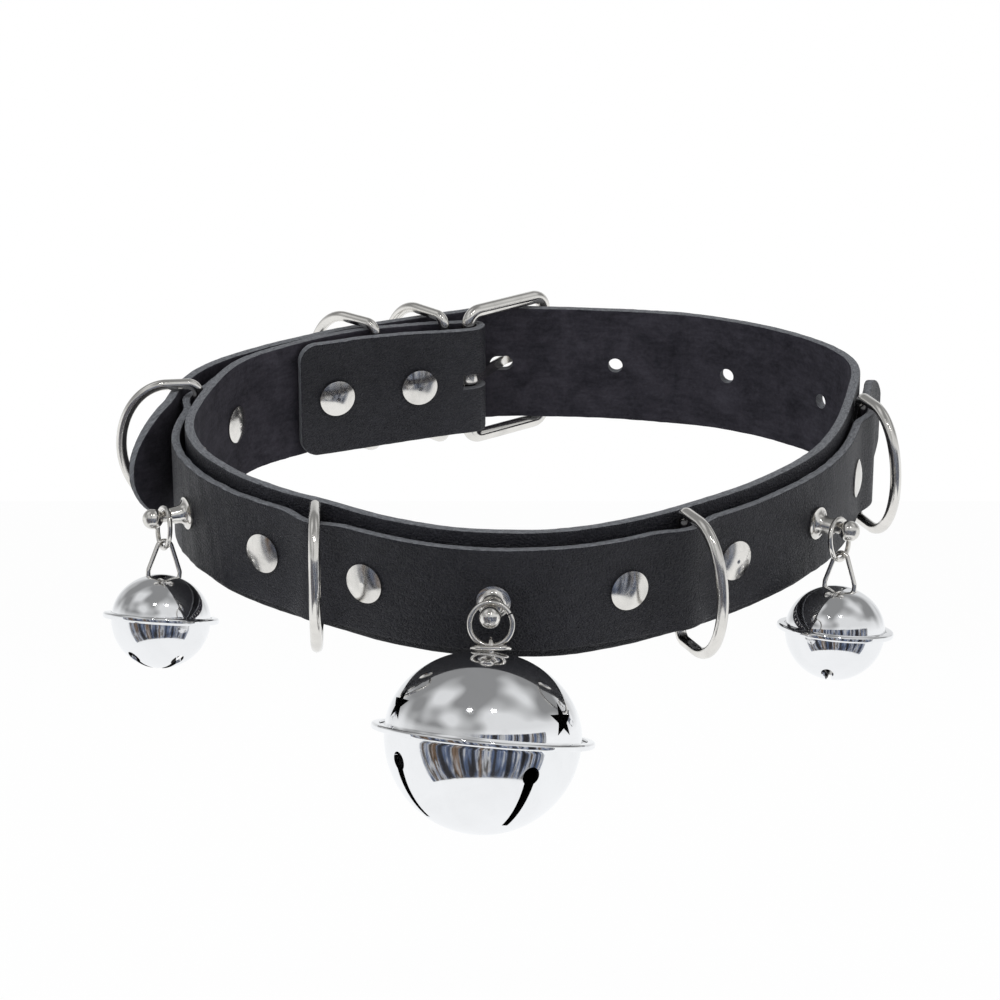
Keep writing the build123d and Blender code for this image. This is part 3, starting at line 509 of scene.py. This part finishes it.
class Recipe:
    """A material's node tree, with its surface shader ready."""

    def __init__(self, name, **constants):
        self.material = bpy.data.materials.new(name)
        self.material.use_nodes = True
        self.tree = self.material.node_tree
        self.shader = self.tree.nodes["Principled BSDF"]
        for socket, value in constants.items():
            self.shader.inputs[socket.replace("_", " ")].default_value = value

    def node(self, kind, settings=None, sockets=None):
        """Add a node, set its settings first and then its sockets."""
        made = self.tree.nodes.new(kind)
        for key, value in (settings or {}).items():
            if key == "stops":
                ramp = made.color_ramp
                while len(ramp.elements) < len(value):
                    ramp.elements.new(0.5)
                for element, (position, colour) in zip(ramp.elements, value):
                    element.position = position
                    element.color = colour
            else:
                setattr(made, key, value)
        for key, value in (sockets or {}).items():
            self.feed(made.inputs[key], value)
        return made

    def feed(self, socket, value):
        """Link a value into a socket, or set it there."""
        if isinstance(value, Amount):
            self.tree.links.new(value.socket, socket)
        elif isinstance(value, bpy.types.NodeSocket):
            self.tree.links.new(value, socket)
        else:
            socket.default_value = value

    def amount(self, kind, settings=None, sockets=None, out=0):
        """A node's output as a number for arithmetic."""
        return Amount(self, self.node(kind, settings, sockets).outputs[out])

    def blend(self, factor, first, second):
        """Mix two colours."""
        mixer = self.node("ShaderNodeMix", {"data_type": "RGBA"}, {0: factor, 6: first, 7: second})
        return mixer.outputs[2]

    def ramp(self, value, low, high):
        """Stretch a number so that low becomes 0 and high becomes 1."""
        return self.amount("ShaderNodeMapRange", {"clamp": True}, {0: value, 1: low, 2: high})

    def surface(self, colour, roughness, height, distance, strength):
        """Feed the shader what changes over the surface."""
        bump = self.node("ShaderNodeBump", None, {"Height": height, "Distance": distance,
                                                  "Strength": strength})
        self.feed(self.shader.inputs["Base Color"], colour)
        self.feed(self.shader.inputs["Roughness"], roughness)
        self.feed(self.shader.inputs["Normal"], bump.outputs[0])

    def noise(self, vector, scale, detail, rough=0.5, distortion=0.0):
        """A noise amount on a vector, with its scale per metre."""
        return self.amount("ShaderNodeTexNoise", None, {
            "Vector": vector, "Scale": scale, "Detail": detail, "Roughness": rough,
            "Distortion": distortion})

    def cells(self, vector, scale, feature):
        """A cell amount on a vector, with its scale per metre."""
        return self.amount("ShaderNodeTexVoronoi", {"feature": feature},
                           {"Vector": vector, "Scale": scale})

    def flat(self, stretch=(1, 1, 1)):
        """The flat place on a strap, stretched if asked."""
        uv = self.node("ShaderNodeUVMap", {"uv_map": "flat"}).outputs[0]
        return self.node("ShaderNodeMapping", None, {"Vector": uv, "Scale": stretch}).outputs[0]

    def place(self, stretch=(1, 1, 1)):
        """The place in the object's own space, stretched if asked."""
        at = self.node("ShaderNodeTexCoord").outputs["Object"]
        return self.node("ShaderNodeMapping", None, {"Vector": at, "Scale": stretch}).outputs[0]


class WorldRecipe(Recipe):
    """The same ways to add nodes, in a world's node tree."""

    def __init__(self, world):
        world.use_nodes = True
        self.tree = world.node_tree
        self.tree.nodes.clear()


def rgba(colour):
    """A colour with full opacity."""
    return tuple(colour) + (1.0,)


def grain_leather(settings):
    """Black grained leather: fine pores, soft wrinkles and a low sheen."""
    r = Recipe("grain_leather", Specular_IOR_Level=0.42)
    at = r.flat()
    pores = r.cells(at, 1500.0, "DISTANCE_TO_EDGE")
    creases = r.noise(at, 420.0, 5.0, 0.62, 0.6)
    broad = r.noise(at, 38.0, 3.0, 0.5)
    wrinkle = r.noise(r.flat((3.2, 0.8, 1)), 90.0, 4.0, 0.55, 1.2)
    height = r.ramp(pores, 0.0, 0.2) * 0.6 + creases * 0.9 + wrinkle * 0.8
    worn = r.ramp(broad * 0.6 + creases * 0.4, 0.42, 0.66)
    colour = r.blend(worn, rgba(settings.grain_colour), rgba(settings.grain_worn))
    rough = 0.36 + broad * 0.16 + creases * 0.1
    r.surface(colour, rough, height, 0.00028, 1.0)


def suede_leather(settings):
    """The rough flesh side: matt, mottled and slightly purple."""
    r = Recipe("suede_leather", Specular_IOR_Level=0.22)
    at = r.flat()
    nap = r.noise(at, 1300.0, 4.0, 0.7)
    patches = r.noise(at, 130.0, 5.0, 0.68, 0.4)
    streaks = r.noise(r.flat((1, 3.5, 1)), 260.0, 3.0, 0.6)
    tone = r.ramp(patches * 0.55 + nap * 0.3 + streaks * 0.25, 0.42, 0.72)
    colour = r.blend(tone, rgba(settings.suede_colour), rgba(settings.suede_light))
    r.surface(colour, 0.86 + nap * 0.12, nap * 0.8 + patches * 0.6, 0.00022, 0.9)


def cut_edge(settings):
    """The cut edge: grey fibres laid along the strap."""
    r = Recipe("cut_edge", Specular_IOR_Level=0.25)
    fibres = r.noise(r.flat((1, 4.5, 1)), 700.0, 5.0, 0.7, 0.3)
    flecks = r.noise(r.flat(), 1500.0, 3.0, 0.6)
    tone = r.ramp(fibres * 0.7 + flecks * 0.3, 0.34, 0.66)
    colour = r.blend(tone, rgba(settings.edge_colour), rgba(settings.edge_light))
    r.surface(colour, 0.8 + fibres * 0.15, fibres + flecks * 0.5, 0.00018, 0.9)


def polished(name, colour, dull, rough, spread, scale):
    """Bright plated metal with faint smears, rub marks and a slight ripple."""
    r = Recipe(name, Metallic=1.0)
    at = r.place()
    smear = r.noise(at, 90.0 * scale, 4.0, 0.6, 0.5)
    rubs = r.noise(r.place((1, 1, 7)), 900.0 * scale, 2.0, 0.5)
    ripple = r.noise(at, 46.0 * scale, 1.0, 0.4)
    tone = r.ramp(smear, 0.38, 0.72)
    tint = r.blend(tone, rgba(colour), rgba(dull))
    rough_now = rough + spread * r.ramp(smear * 0.7 + rubs * 0.3, 0.4, 0.7)
    r.surface(tint, rough_now, ripple + rubs * 0.012, 0.0006 / scale, 0.12)


# ---- settings ------------------------------------------------------------------------


def colour_setting(name, description, value):
    """A colour that a user can change."""
    return FloatVectorProperty(name=name, description=description, subtype="COLOR", size=3,
                               min=0.0, max=1.0, default=value)


class StrapSettings(bpy.types.PropertyGroup):
    """Finish and colours of the straps"""

    soften: FloatProperty(name="Edge softening", description="Rounding of the straps' cut edges",
                          default=0.32 * MM, min=0.05 * MM, max=0.6 * MM, unit="LENGTH")
    wobble: FloatProperty(name="Waviness", description="How far the leather strays from its line",
                          default=0.24 * MM, min=0.0, max=1.0 * MM, unit="LENGTH")
    grain_colour: colour_setting("Grain", "Colour of the smooth side", (0.0095, 0.0095, 0.0135))
    grain_worn: colour_setting("Worn grain", "Colour of the smooth side's worn parts",
                               (0.0205, 0.0202, 0.0262))
    suede_colour: colour_setting("Suede", "Dark colour of the rough side", (0.0125, 0.0115, 0.0160))
    suede_light: colour_setting("Light suede", "Light colour of the rough side",
                                (0.0480, 0.0445, 0.0560))
    edge_colour: colour_setting("Edge", "Dark colour of the cut edges", (0.0560, 0.0570, 0.0620))
    edge_light: colour_setting("Light edge", "Light colour of the cut edges",
                               (0.2350, 0.2400, 0.2550))


class MetalSettings(bpy.types.PropertyGroup):
    """Colours of the fittings"""

    nickel: colour_setting("Nickel", "Colour of rings, rivets and studs", (0.80, 0.775, 0.735))
    chrome: colour_setting("Bell plate", "Colour of the bells", (0.90, 0.90, 0.905))
    # the bells' inner faces get a near-black colour: painted shade in the hollow of each bell, on a
    # rough metal
    inside: colour_setting("Bell inside", "Colour of the bells' dull inner face",
                           (0.055, 0.053, 0.052))
    steel: colour_setting("Pellet steel", "Colour of the pellets", (0.56, 0.55, 0.53))


class BellSettings(bpy.types.PropertyGroup):
    """Smoothness of the bells"""

    big_steps: IntProperty(name="Big bell steps", description="Steps round the big bell",
                           default=192, min=24, max=400)
    small_steps: IntProperty(name="Small bell steps", description="Steps round a small bell",
                             default=120, min=24, max=400)


class StageSettings(bpy.types.PropertyGroup):
    """Floor, lights and camera"""

    floor_drop: FloatProperty(name="Floor drop", description="Floor below the lowest bell",
                              default=0.045, min=0.0, max=1.0, unit="LENGTH")
    lens: FloatProperty(name="Lens", description="Focal length of the camera on a 36 mm sensor",
                        default=123.12, min=20, max=400)
    distance: FloatProperty(name="Distance", description="Camera to the collar's centre",
                            default=0.72, min=0.1, max=5.0, unit="LENGTH")
    rise: FloatProperty(name="Rise", description="Elevation of the camera above the horizon",
                        default=math.radians(1.0), min=-1.5, max=1.5, subtype="ANGLE")
    key: FloatProperty(name="Key light", description="Power of the key light in watts",
                       default=5.2, min=0.0, max=100.0)
    fill: FloatProperty(name="Fill light", description="Power of the fill light in watts",
                        default=2.4, min=0.0, max=100.0)
    sparkle: FloatProperty(name="Sparkle", description="Power of each small lamp in watts",
                           default=0.25, min=0.0, max=20.0)
    ambient: FloatProperty(name="Ambient", description="Strength of the room's soft light",
                           default=0.55, min=0.0, max=4.0)


def strap_materials():
    """The three faces of a strap, shared by both straps."""
    if "grain_leather" not in bpy.data.materials:
        settings = bpy.context.scene.collar_straps
        grain_leather(settings)
        suede_leather(settings)
        cut_edge(settings)
    return [bpy.data.materials[n] for n in ("grain_leather", "suede_leather", "cut_edge")]


def metal(name):
    """One of the plated metals, made when first asked for."""
    if name not in bpy.data.materials:
        s = bpy.context.scene.collar_metals
        colour, worn, rough, spread, scale = {
            "nickel_plate": (s.nickel, 0.86, 0.13, 0.14, 2.0),
            "bell_plate": (s.chrome, 0.95, 0.045, 0.07, 1.0),
            # the near-black inner colour, darkened further, is painted shade inside the bells
            "bell_inside": (s.inside, 0.4, 0.42, 0.2, 2.0),
            "pellet_steel": (s.steel, 0.7, 0.3, 0.2, 3.0),
        }[name]
        polished(name, colour, tuple(c * worn for c in colour), rough, spread, scale)
    return bpy.data.materials[name]


# ---- operators -------------------------------------------------------------------------


class COLLAR_OT_main_strap(bpy.types.Operator):
    """Build the main strap with its flap, fold, fitting holes and tail"""

    bl_idname = "collar.main_strap"
    bl_label = "Main strap"

    def execute(self, context):
        settings = context.scene.collar_straps
        length = folded.length
        columns = 420
        bm = strip(length, columns, 12, main_half,
                   end_columns(length, 4.0, TAIL_WIDTH / 2, 10 / columns))
        thicken(bm, STRAP_THICK, settings.soften / MM)
        cutters = []
        for i in (-3, -2, -1, 0, 1):
            at = folded.body_at + prong_arc + HOLE_PITCH * i
            if i == 0:
                reach = PRONG_HOLE / 2 - HOLE_R
                points = [(at + math.copysign(reach, math.cos(t)) + HOLE_R * math.cos(t),
                           HOLE_R * math.sin(t))
                          for t in (math.tau * (k + 0.5) / 32 for k in range(32))]
                cutters.append(prism(points, -CUTTER_HALF, CUTTER_HALF))
            else:
                hole = rod(HOLE_R, -CUTTER_HALF, CUTTER_HALF, 32)
                bmesh.ops.translate(hole, verts=hole.verts, vec=(at, 0, 0))
                cutters.append(hole)
        near, far = folded.fold_at - SLOT_PAST, folded.body_at + SLOT_PAST
        slot = [(near, -SLOT_HALF), (far, -SLOT_HALF), (far, SLOT_HALF), (near, SLOT_HALF)]
        cutters.append(prism(slot, -CUTTER_HALF, CUTTER_HALF))
        bm = carved(bm, cutters, CUT)
        creases = [(folded.body_at + front_arc + PITCH * p, 9.0, 0.1) for p in (-3, 3)]
        bend(bm, folded.at, lambda arc: 0.0, settings.wobble / MM, creases)
        finish_piece(bm, "strap_main", "collar", ["main_strap"], strap_materials())
        return {"FINISHED"}


class COLLAR_OT_overlay_strap(bpy.types.Operator):
    """Build the overlay strap riveted outside the main strap"""

    bl_idname = "collar.overlay_strap"
    bl_label = "Overlay strap"

    def execute(self, context):
        settings = context.scene.collar_straps
        length = 2 * OVERLAY_HALF * PITCH
        start = front_arc - OVERLAY_HALF * PITCH
        columns = 300
        bm = strip(length, columns, 10, overlay_half, end_columns(length, 6.0, 6.0, 10 / columns))
        thicken(bm, OVERLAY_THICK, settings.soften / MM)
        creases = [(OVERLAY_HALF * PITCH + PITCH * p, 11.0, 0.22) for p in (-3, -2.2, 3)]
        bend(bm, lambda arc: body.at(start + arc),
             lambda arc: STRAP_THICK / 2 + gap_at(start + arc) + OVERLAY_THICK / 2,
             settings.wobble / MM * 0.6, creases)
        finish_piece(bm, "strap_overlay", "collar", ["overlay_strap"],
                     strap_materials())
        return {"FINISHED"}


class COLLAR_OT_rivets(bpy.types.Operator):
    """Build the rivets: a post and a domed cap each"""

    bl_idname = "collar.rivets"
    bl_label = "Rivets"

    def execute(self, context):
        for number in range(1, 11):
            for kind in ("post", "cap"):
                refit(f"rivet_{kind}_{number:02d}", f"rivet_{kind}_plated_{number:02d}",
                      metal("nickel_plate"), 40.0)
        return {"FINISHED"}


class COLLAR_OT_studs(bpy.types.Operator):
    """Build the ball studs and the screws behind them"""

    bl_idname = "collar.studs"
    bl_label = "Ball studs"

    def execute(self, context):
        for side in SIDES:
            refit(f"stud_{side}", f"ball_stud_{side}", metal("nickel_plate"), 40.0)
            refit(f"stud_screw_{side}", f"slotted_screw_{side}", metal("nickel_plate"))
        return {"FINISHED"}


class COLLAR_OT_rings(bpy.types.Operator):
    """Build the D-rings and the keeper rings"""

    bl_idname = "collar.rings"
    bl_label = "Rings"

    def execute(self, context):
        for where in ("left", "front_left", "front_right", "right"):
            refit(f"d_ring_{where}", f"wire_d_ring_{where}", metal("nickel_plate"), 60.0)
        for where in ("near", "far"):
            refit(f"keeper_ring_{where}", f"wire_keeper_{where}",
                  metal("nickel_plate"), 60.0)
        return {"FINISHED"}


class COLLAR_OT_buckle(bpy.types.Operator):
    """Build the buckle's wire frame and its prong"""

    bl_idname = "collar.buckle"
    bl_label = "Buckle"

    def execute(self, context):
        refit("buckle_frame", "wire_buckle_frame", metal("nickel_plate"), 60.0)
        bm = merged_copy("buckle_prong")
        bmesh.ops.dissolve_limit(bm, angle_limit=math.radians(1.0), verts=bm.verts, edges=bm.edges)
        corners = [e for e in bm.edges if len(e.link_faces) == 2
                   and e.calc_face_angle(0.0) > math.radians(60)]
        bmesh.ops.bevel(bm, geom=corners, offset=0.14 * MM, offset_type="OFFSET", segments=2,
                        profile=0.5, affect="EDGES", material=-1, clamp_overlap=True)
        finish_piece(bm, "curled_prong", "buckle", ["buckle_prong"],
                     [metal("nickel_plate")], 50.0)
        return {"FINISHED"}


class COLLAR_OT_jump_rings(bpy.types.Operator):
    """Build the jump rings that hang on the studs"""

    bl_idname = "collar.jump_rings"
    bl_label = "Jump rings"

    def execute(self, context):
        for side in SIDES:
            refit(f"jump_ring_{side}", f"split_jump_ring_{side}",
                  metal("nickel_plate"), 60.0)
            refit(f"bell_bail_{side}", f"wire_bail_{side}", metal("nickel_plate"), 60.0)
        return {"FINISHED"}


def joint(name):
    """A joint of the frame by its name."""
    return next(j for j in frame["joints"] if j["name"] == name)


def bell_frame(side, size):
    """Matrix from a bell's own upright space in millimetres to its hanging place."""
    centre = Vector(joint(f"pellet_{side}_roll")["pos_m"])
    pivot = Vector(joint(f"bell_{side}_swing")["pos_m"])
    ahead = Vector(joint(f"jump_ring_{side}_swing")["axis"])
    upward = (pivot - Vector((0, 0, size["gap"] * MM)) - centre).normalized()
    wide = Vector((1, 0, 0)) if side == "centre" else ahead
    wide = (wide - upward * wide.dot(upward)).normalized()
    deep = upward.cross(wide)
    matrix = Matrix((wide, deep, upward)).transposed().to_4x4() @ Matrix.Scale(MM, 4)
    matrix.translation = centre
    return matrix


def spun(profile, steps):
    """A closed shell turned from a profile that starts and ends on the axis."""
    bm = bmesh.new()
    verts = [bm.verts.new((x, 0, z)) for x, z in profile]
    edges = [bm.edges.new(pair) for pair in zip(verts, verts[1:])]
    bmesh.ops.spin(bm, geom=verts + edges, axis=(0, 0, 1), cent=(0, 0, 0), angle=math.tau,
                   steps=steps, use_merge=True)
    bmesh.ops.remove_doubles(bm, verts=bm.verts, dist=1e-4)
    bmesh.ops.recalc_face_normals(bm, faces=bm.faces)
    return bm


def curve(half_x, half_z, start, finish, count):
    """Points of an ellipse between two angles in degrees."""
    return [(half_x * math.cos(math.radians(start + (finish - start) * i / count)),
             half_z * math.sin(math.radians(start + (finish - start) * i / count)))
            for i in range(count + 1)]


def rounded(x, z, radius, start, finish, count):
    """Points of a small corner arc about a centre."""
    return [(x + a, z + b) for a, b in curve(radius, radius, start, finish, count)]


def top_profile(size):
    """Upper shell: crown, wall, fillet and flange."""
    r, top, wall, rim = size["r"], size["top"], size["wall"], size["flange"] - HEM - 0.08
    outer = [(0.0, top)] + curve(r, top, 90, 4, 40)[1:]
    fillet = [(r + 0.02, HEM + 0.32), (r + 0.14, HEM + 0.1), (r + 0.42, HEM)]
    flange = [(rim - 1.0, HEM), (rim - 0.06, HEM)]
    flange += rounded(rim - 0.06, HEM - 0.06, 0.06, 90, 0, 2)
    inner = [(rim, 0.0), (r - wall, 0.0)] + curve(r - wall, top - wall, 3, 90, 30)[:-1]
    return outer + fillet + flange + inner + [(0.0, top - wall)]


def bottom_profile(size):
    """Lower shell: bowl, fillet, flange and the hem folded over the upper one."""
    r, wall, rim = size["r"], size["wall"], size["flange"]
    high = 2 * HEM + 0.1
    bowl = [(0.0, -r)] + curve(r, r, -90, -4, 44)[1:]
    fillet = [(r + 0.02, -HEM - 0.34), (r + 0.14, -HEM - 0.1), (r + 0.42, -HEM)]
    hem = [(rim - 0.75, -HEM)] + rounded(rim - HEM_ROUND, 0.0, HEM_ROUND, -90, 0, 5)
    hem += rounded(rim - HEM_ROUND, high - HEM_ROUND, HEM_ROUND, 0, 90, 5)
    hem += [(rim - 1.42, high)]
    tuck = [(rim - 1.5, high - 0.08), (rim - 1.5, HEM + 0.1)]
    tuck += [(rim - HEM, HEM + 0.1), (rim - HEM, 0.0)]
    inner = [(r - wall, 0.0)] + curve(r - wall, r - wall, -3, -90, 32)[:-1]
    return bowl + fillet + hem + tuck + inner + [(0.0, wall - r)]


def facing(bm, bearing, r, height=0.0):
    """Stand a cutter drawn flat against a bell's wall at a bearing."""
    spot = math.radians(bearing - 90)
    way = Vector((math.cos(spot), math.sin(spot), 0))
    side = Vector((0, 0, 1)).cross(way)
    matrix = Matrix((side, (0, 0, 1), way)).transposed().to_4x4()
    matrix.translation = way * (r + 1) + Vector((0, 0, height))
    bmesh.ops.transform(bm, matrix=matrix, verts=bm.verts)
    return bm


def star_cutters(size):
    """The stars of the big bell's upper shell."""
    out = []
    for bearing in STAR_BEARINGS:
        points = []
        for i in range(10):
            reach = STAR_R if i % 2 == 0 else STAR_R * STAR_WAIST
            turn = math.radians(90 + 36 * i)
            points.append((reach * math.cos(turn), reach * math.sin(turn)))
        out.append(facing(prism(points, -9.0, 0.0), bearing, size["r"], STAR_AT))
    return out


def keyhole_cutters(size):
    """The keyholes of the big bell's lower shell."""
    out = []
    for bearing in KEY_BEARINGS:
        drop = prism([(-KEY_WIDE, -KEY_AT), (-KEY_NARROW, -KEY_END), (KEY_NARROW, -KEY_END),
                      (KEY_WIDE, -KEY_AT)], -11.5, 0.0)
        eye = rod(KEY_R, -11.5, 0.0, 32)
        bmesh.ops.translate(eye, verts=eye.verts, vec=(0, -KEY_AT, 0))
        out += [facing(drop, bearing, size["r"]), facing(eye, bearing, size["r"])]
    return out


def cross_cutters(size):
    """The crossed slots under a small bell."""
    low, high = -(size["r"] + 1), 5 - size["r"]
    out = []
    for turn in CROSS_TURNS:
        arm = [(-CROSS_REACH, -CROSS_HALF), (CROSS_REACH, -CROSS_HALF),
               (CROSS_REACH, CROSS_HALF), (-CROSS_REACH, CROSS_HALF)]
        parts = [prism(arm, low, high)]
        for sign in (1, -1):
            eye = rod(CROSS_EYE, low, high)
            bmesh.ops.translate(eye, verts=eye.verts, vec=(CROSS_EYE_AT * sign, 0, 0))
            parts.append(eye)
        for cutter in parts:
            bmesh.ops.rotate(cutter, verts=cutter.verts, cent=(0, 0, 0),
                             matrix=Matrix.Rotation(math.radians(turn), 3, "Z"))
        out += parts
    return out


class COLLAR_OT_bells(bpy.types.Operator):
    """Build the two shells of each bell, and finish its pellet"""

    bl_idname = "collar.bells"
    bl_label = "Bells"

    def execute(self, context):
        settings = context.scene.collar_bells
        for side in SIDES:
            big = side == "centre"
            size = BIG if big else SMALL
            steps = settings.big_steps if big else settings.small_steps
            hang = bell_frame(side, size)
            upper = spun(top_profile(size), steps)
            if big:
                upper = carved(upper, star_cutters(size))
            slots = keyhole_cutters(size) if big else cross_cutters(size)
            lower = carved(spun(bottom_profile(size), steps), slots)
            for bm, name, node in ((upper, "shell_upper", "bell_top"),
                                   (lower, "shell_lower", "bell_bottom")):
                # faces that look into the hollow get the near-black inner material, painted shade
                # inside the bell
                for face in bm.faces:
                    middle = face.calc_center_median()
                    within = middle.xy.length < size["r"] - size["wall"] * 0.6
                    inward = face.normal.dot(middle) < 0
                    face.material_index = int(within and inward)
                bmesh.ops.transform(bm, matrix=hang, verts=bm.verts)
                finish_piece(bm, f"{name}_{side}", f"bell_{side}",
                             [f"{node}_{side}"],
                             [metal("bell_plate"), metal("bell_inside")], 32.0)
            pellet = frame["nodes"][f"pellet_{side}"]
            pellet.data.materials.clear()
            pellet.data.materials.append(metal("pellet_steel"))
        return {"FINISHED"}


class COLLAR_OT_stage(bpy.types.Operator):
    """Lay the floor, hang the lights and set up the camera"""

    bl_idname = "collar.stage"
    bl_label = "Stage"

    def execute(self, context):
        s = context.scene.collar_stage
        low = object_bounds()[0].z
        self.floor(low - s.floor_drop)
        self.room(s.ambient)
        self.far_wall()
        self.lamp("key", (-0.55, -0.75, 0.85), s.key, 0.55, (0.9, 0.95, 1.0))
        self.lamp("fill", (0.8, -0.5, 0.45), s.fill, 0.6, (1.0, 0.98, 0.95))
        self.lamp("back", (0.1, 0.9, 0.75), s.fill, 0.7, (1.0, 1.0, 1.0))
        for name, side in (("sparkle_left", -1), ("sparkle_right", 1)):
            self.lamp(name, (0.2 * side, -0.7, 0.62), s.sparkle, 0.05, (1.0, 1.0, 1.0), True)
        self.camera(s)
        context.scene.view_settings.view_transform = "Standard"
        return {"FINISHED"}

    def stand(self, name, bm, material):
        """Link a mesh that belongs to the stage."""
        mesh = bpy.data.meshes.new(name)
        bm.to_mesh(mesh)
        bm.free()
        mesh.materials.append(material)
        thing = bpy.data.objects.new(name, mesh)
        bpy.context.scene.collection.objects.link(thing)
        return thing

    def floor(self, height):
        """A floor that is plain white to the camera but keeps a faint shadow."""
        bm = bmesh.new()
        bmesh.ops.create_grid(bm, x_segments=2, y_segments=2, size=6.0,
                              matrix=Matrix.Translation((0, 0, height)))
        r = Recipe("floor_white", Roughness=0.9, Specular_IOR_Level=0.1,
                   Base_Color=(0.9, 0.9, 0.9, 1))
        rays = r.node("ShaderNodeLightPath")
        seen = Amount(r, rays.outputs["Is Camera Ray"])
        through = Amount(r, rays.outputs["Is Transmission Ray"])
        glow = r.node("ShaderNodeEmission", None, {"Color": WHITE, "Strength": 1.0})
        plain = (seen + through) * 0.97
        mixer = r.node("ShaderNodeMixShader", None, {0: plain, 1: r.shader.outputs[0],
                                                     2: glow.outputs[0]})
        r.feed(r.tree.nodes["Material Output"].inputs["Surface"], mixer.outputs[0])
        floor = self.stand("floor", bm, r.material)
        # the metal sees past the floor, to the room's wall and the white round it
        floor.visible_glossy = False
        floor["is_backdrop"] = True

    def far_wall(self):
        """Half a round wall behind the camera, that only the polished metal sees."""
        bm = bmesh.new()
        bmesh.ops.create_cone(bm, segments=64, radius1=WALL_R, radius2=WALL_R,
                              depth=WALL_TOP - WALL_LOW,
                              matrix=Matrix.Translation((0, 0, (WALL_TOP + WALL_LOW) / 2)))
        behind = [f for f in bm.faces if f.calc_center_median().y > WALL_END * WALL_R]
        bmesh.ops.delete(bm, geom=behind, context="FACES")
        r = Recipe("room_streaks", Roughness=1.0, Specular_IOR_Level=0.0,
                   Base_Color=(0, 0, 0, 1), Emission_Strength=1.0)
        streak = r.noise(r.place((1, 1, 0.07)), 7.0, 4.0, 0.62)
        ramp = r.node("ShaderNodeValToRGB", {"stops": WALL_TONES}, {0: streak})
        r.feed(r.shader.inputs["Emission Color"], ramp.outputs[0])
        wall = self.stand("far_wall", bm, r.material)
        wall.visible_camera = False
        wall.visible_diffuse = False
        wall.visible_shadow = False
        wall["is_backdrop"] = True

    def room(self, strength):
        """White for the camera, soft light for the object, a grey ceiling for the metal."""
        world = bpy.data.worlds.new("studio")
        bpy.context.scene.world = world
        r = WorldRecipe(world)
        rays = r.node("ShaderNodeLightPath")
        mirrored = Amount(r, rays.outputs["Is Glossy Ray"])
        way = r.node("ShaderNodeTexCoord").outputs["Generated"]
        climb = r.amount("ShaderNodeSeparateXYZ", None, {0: way}, 2)
        ceiling = r.ramp(climb, 0.02, 0.3)
        cloud = r.ramp(r.noise(way, 1.5, 1.0), 0.38, 0.6)
        level = (mirrored * (1 - ceiling * (0.72 - cloud * 0.5))
                 + (1 - mirrored) * strength)
        light = r.node("ShaderNodeBackground", None, {0: (0.97, 0.985, 1.0, 1), 1: level})
        white = r.node("ShaderNodeBackground", None, {0: WHITE, 1: 1.0})
        mixer = r.node("ShaderNodeMixShader", None, {
            0: rays.outputs["Is Camera Ray"], 1: light.outputs[0], 2: white.outputs[0]})
        r.node("ShaderNodeOutputWorld", None, {0: mixer.outputs[0]})

    def lamp(self, name, place, power, size, colour, mirrored=False):
        """A square lamp that faces the collar's centre."""
        light = bpy.data.lights.new(name, "AREA")
        light.energy = power
        light.size = size
        light.color = colour
        lamp = bpy.data.objects.new(name, light)
        lamp.location = place
        lamp.visible_glossy = mirrored
        lamp.rotation_mode = "QUATERNION"
        lamp.rotation_quaternion = (-Vector(place)).to_track_quat("-Z", "Y")
        bpy.context.scene.collection.objects.link(lamp)

    def camera(self, s):
        """A camera in front of the collar, a little above it."""
        data = bpy.data.cameras.new("camera")
        data.sensor_width = 36.0
        data.lens = s.lens
        data.clip_start, data.clip_end = 0.01, 30.0
        camera = bpy.data.objects.new("camera", data)
        ahead = Vector((0, math.cos(s.rise), -math.sin(s.rise)))
        upward = Vector((0, math.sin(s.rise), math.cos(s.rise)))
        # the collar's centre shows a little right of and above the middle
        ray = ahead + Vector((0.00351, 0, 0)) + upward * 0.01316
        camera.location = ray * -s.distance
        camera.rotation_euler = (math.pi / 2 - s.rise, 0, 0)
        bpy.context.scene.collection.objects.link(camera)
        bpy.context.scene.camera = camera


class COLLAR_PT_panel(bpy.types.Panel):
    """List the collar's pieces in the sidebar"""

    bl_label = "Belled collar"
    bl_idname = "COLLAR_PT_panel"
    bl_space_type = "VIEW_3D"
    bl_region_type = "UI"
    bl_category = "Collar"

    def draw(self, context):
        scene = context.scene
        for key in GROUPS:
            group = getattr(scene, key)
            box = self.layout.box()
            for name in group.__annotations__:
                box.prop(group, name)
        for operator in OPERATORS:
            self.layout.operator(operator.bl_idname)


OPERATORS = (
    COLLAR_OT_main_strap,
    COLLAR_OT_overlay_strap,
    COLLAR_OT_rivets,
    COLLAR_OT_studs,
    COLLAR_OT_rings,
    COLLAR_OT_buckle,
    COLLAR_OT_jump_rings,
    COLLAR_OT_bells,
    COLLAR_OT_stage,
)
GROUPS = {
    "collar_straps": StrapSettings,
    "collar_metals": MetalSettings,
    "collar_bells": BellSettings,
    "collar_stage": StageSettings,
}


def register():
    for name, group in GROUPS.items():
        bpy.utils.register_class(group)
        setattr(bpy.types.Scene, name, PointerProperty(type=group))
    for operator in OPERATORS:
        bpy.utils.register_class(operator)
    bpy.utils.register_class(COLLAR_PT_panel)


def unregister():
    bpy.utils.unregister_class(COLLAR_PT_panel)
    for operator in reversed(OPERATORS):
        bpy.utils.unregister_class(operator)
    for name, group in GROUPS.items():
        delattr(bpy.types.Scene, name)
        bpy.utils.unregister_class(group)


def main():
    """Build every piece and the stage."""
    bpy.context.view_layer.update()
    register()
    for operator in OPERATORS:
        module, name = operator.bl_idname.split(".")
        getattr(getattr(bpy.ops, module), name)()


if __name__ == "__main__":
    main()
